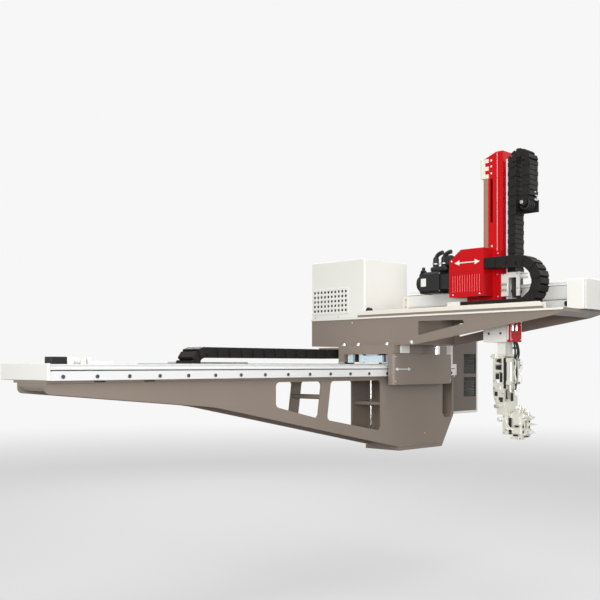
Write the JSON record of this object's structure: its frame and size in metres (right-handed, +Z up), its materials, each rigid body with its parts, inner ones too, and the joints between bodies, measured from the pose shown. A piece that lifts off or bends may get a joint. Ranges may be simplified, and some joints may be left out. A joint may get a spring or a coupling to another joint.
{
  "type": "injection moulding take-out robot",
  "caption": "Beam-mounted take-out robot: traverse carriage, kick frame with control box, telescopic red arm, cable chains, flip wrist and finger gripper.",
  "frame": {"origin": "centre of the pedestal's underside, at the middle of its bolt pattern", "axes": "+Z up; the traverse beam runs out to -X and the control cabinet is at +X; the kick frame reaches out to -Y"},
  "size_m": [2.9515, 1.62, 1.545],
  "materials": {
    "grey_paint": "satin warm grey paint",
    "white_paint": "satin off-white paint",
    "red_paint": "gloss red paint",
    "black_paint": "satin black paint",
    "cream_paint": "satin cream paint",
    "aluminium": "anodised, matte",
    "rail_steel": "ground steel",
    "bright_metal": "polished",
    "white_plastic": "moulded, matte",
    "black_plastic": "moulded, matte",
    "chain_plastic": "moulded link chain, satin",
    "cream_rubber": "toothed belt, matte"
  },
  "bodies": {
    "base": {"side_plate_near": "grey_paint", "side_plate_far": "grey_paint", "belly_plate": "grey_paint", "beam_top_plate": "grey_paint", "stiffeners": "grey_paint", "pedestal_foot": "grey_paint", "traverse_extrusion": "aluminium", "traverse_rails": "rail_steel", "traverse_rack": "rail_steel", "beam_end_caps": "white_plastic", "travel_stops": "white_plastic", "traverse_chain_tray": "aluminium", "traverse_chain_lower": "chain_plastic", "control_cabinet": "white_paint", "cabinet_door": "grey_paint", "cabinet_grilles": "black_plastic"},
    "traverse_chain_roller": {"traverse_chain_loop": "chain_plastic"},
    "traverse_carriage": {"traverse_chain_upper": "chain_plastic", "saddle": "grey_paint", "apron": "grey_paint", "traverse_guide_blocks": "rail_steel", "traverse_motor": "black_paint", "kick_web_near": "grey_paint", "kick_web_far": "grey_paint", "kick_frame_plates": "grey_paint", "kick_chain_tray": "cream_paint", "kick_extrusion": "aluminium", "kick_rails": "rail_steel", "kick_rack": "rail_steel", "kick_end_cap": "white_plastic", "control_box": "white_paint", "kick_chain_lower": "chain_plastic"},
    "traverse_pinion_gear": {"traverse_pinion": "rail_steel"},
    "kick_chain_roller": {"kick_chain_loop": "chain_plastic"},
    "kick_carriage": {"kick_guide_blocks": "rail_steel", "kick_saddle": "aluminium", "kick_motor": "black_paint", "drive_cover": "red_paint", "arm_housing": "red_paint", "arm_motor": "black_paint", "chain_bracket": "white_paint", "kick_chain_upper": "chain_plastic", "lift_chain_fixed_run": "chain_plastic"},
    "kick_pinion_gear": {"kick_pinion": "rail_steel"},
    "arm_pulley_drum": {"arm_pulley": "aluminium"},
    "arm_outer": {"arm_profile": "red_paint", "arm_rails": "rail_steel", "arm_belt": "cream_rubber", "lift_chain_loop": "chain_plastic"},
    "arm_inner": {"inner_profile": "aluminium", "arm_foot": "white_paint", "arm_clamp": "red_paint", "clamp_pillars": "bright_metal", "lift_chain_moving_run": "chain_plastic", "wrist_frame": "aluminium", "wrist_cylinders": "aluminium", "flip_actuator": "aluminium"},
    "gripper": {"gripper_head": "aluminium"},
    "upper_jaw": {"jaw_upper": "aluminium"},
    "lower_jaw": {"jaw_lower": "aluminium"}
  },
  "joints": [
    {"name": "traverse_slide", "type": "slide", "parent": "base", "child": "traverse_carriage", "axis": [-1, 0, 0], "range_m": [-0.05, 1.6], "deforming": ["traverse_chain_upper", "traverse_chain_lower"]},
    {"name": "traverse_pinion_spin", "type": "hinge", "parent": "traverse_carriage", "child": "traverse_pinion_gear", "pos_m": [-0.0675, 0.121, 0.466], "axis": [0, 0, 1], "range_deg": [-60, 1660]},
    {"name": "traverse_chain_roll", "type": "slide", "parent": "base", "child": "traverse_chain_roller", "axis": [-1, 0, 0], "range_m": [-0.03, 0.81]},
    {"name": "kick_slide", "type": "slide", "parent": "traverse_carriage", "child": "kick_carriage", "axis": [0, -1, 0], "range_m": [-0.31, 0.16], "deforming": ["kick_chain_upper", "kick_chain_lower"]},
    {"name": "kick_pinion_spin", "type": "hinge", "parent": "kick_carriage", "child": "kick_pinion_gear", "pos_m": [0.007, -0.605, 0.91475], "axis": [1, 0, 0], "range_deg": [-560, 290]},
    {"name": "kick_chain_roll", "type": "slide", "parent": "traverse_carriage", "child": "kick_chain_roller", "axis": [0, -1, 0], "range_m": [-0.16, 0.085]},
    {"name": "arm_descent", "type": "slide", "parent": "kick_carriage", "child": "arm_outer", "axis": [0, 0, -1], "range_m": [0, 0.45], "deforming": ["lift_chain_fixed_run", "lift_chain_moving_run"]},
    {"name": "arm_pulley_spin", "type": "hinge", "parent": "kick_carriage", "child": "arm_pulley_drum", "pos_m": [-0.2325, -0.6655, 0.925], "axis": [0, 1, 0], "range_deg": [-10, 600]},
    {"name": "arm_inner_descent", "type": "slide", "parent": "arm_outer", "child": "arm_inner", "axis": [0, 0, -1], "range_m": [0, 0.45]},
    {"name": "wrist_flip", "type": "hinge", "parent": "arm_inner", "child": "gripper", "pos_m": [-0.138, -0.737, 0.29], "axis": [1, 0, 0], "range_deg": [0, 90]},
    {"name": "upper_jaw_slide", "type": "slide", "parent": "gripper", "child": "upper_jaw", "axis": [0, 0, -1], "range_m": [-0.006, 0.008]},
    {"name": "lower_jaw_slide", "type": "slide", "parent": "gripper", "child": "lower_jaw", "axis": [0, 0, 1], "range_m": [-0.006, 0.008]}
  ],
  "couplings": [
    {"joint": "traverse_pinion_spin", "follows": "traverse_slide", "rad_per_m": 17.857},
    {"joint": "traverse_chain_roll", "follows": "traverse_slide", "ratio": 0.5},
    {"joint": "kick_pinion_spin", "follows": "kick_slide", "rad_per_m": 30.769},
    {"joint": "kick_chain_roll", "follows": "kick_slide", "ratio": 0.5},
    {"joint": "arm_pulley_spin", "follows": "arm_descent", "rad_per_m": 22.936},
    {"joint": "arm_inner_descent", "follows": "arm_descent", "ratio": 1},
    {"joint": "lower_jaw_slide", "follows": "upper_jaw_slide", "ratio": 1}
  ]
}
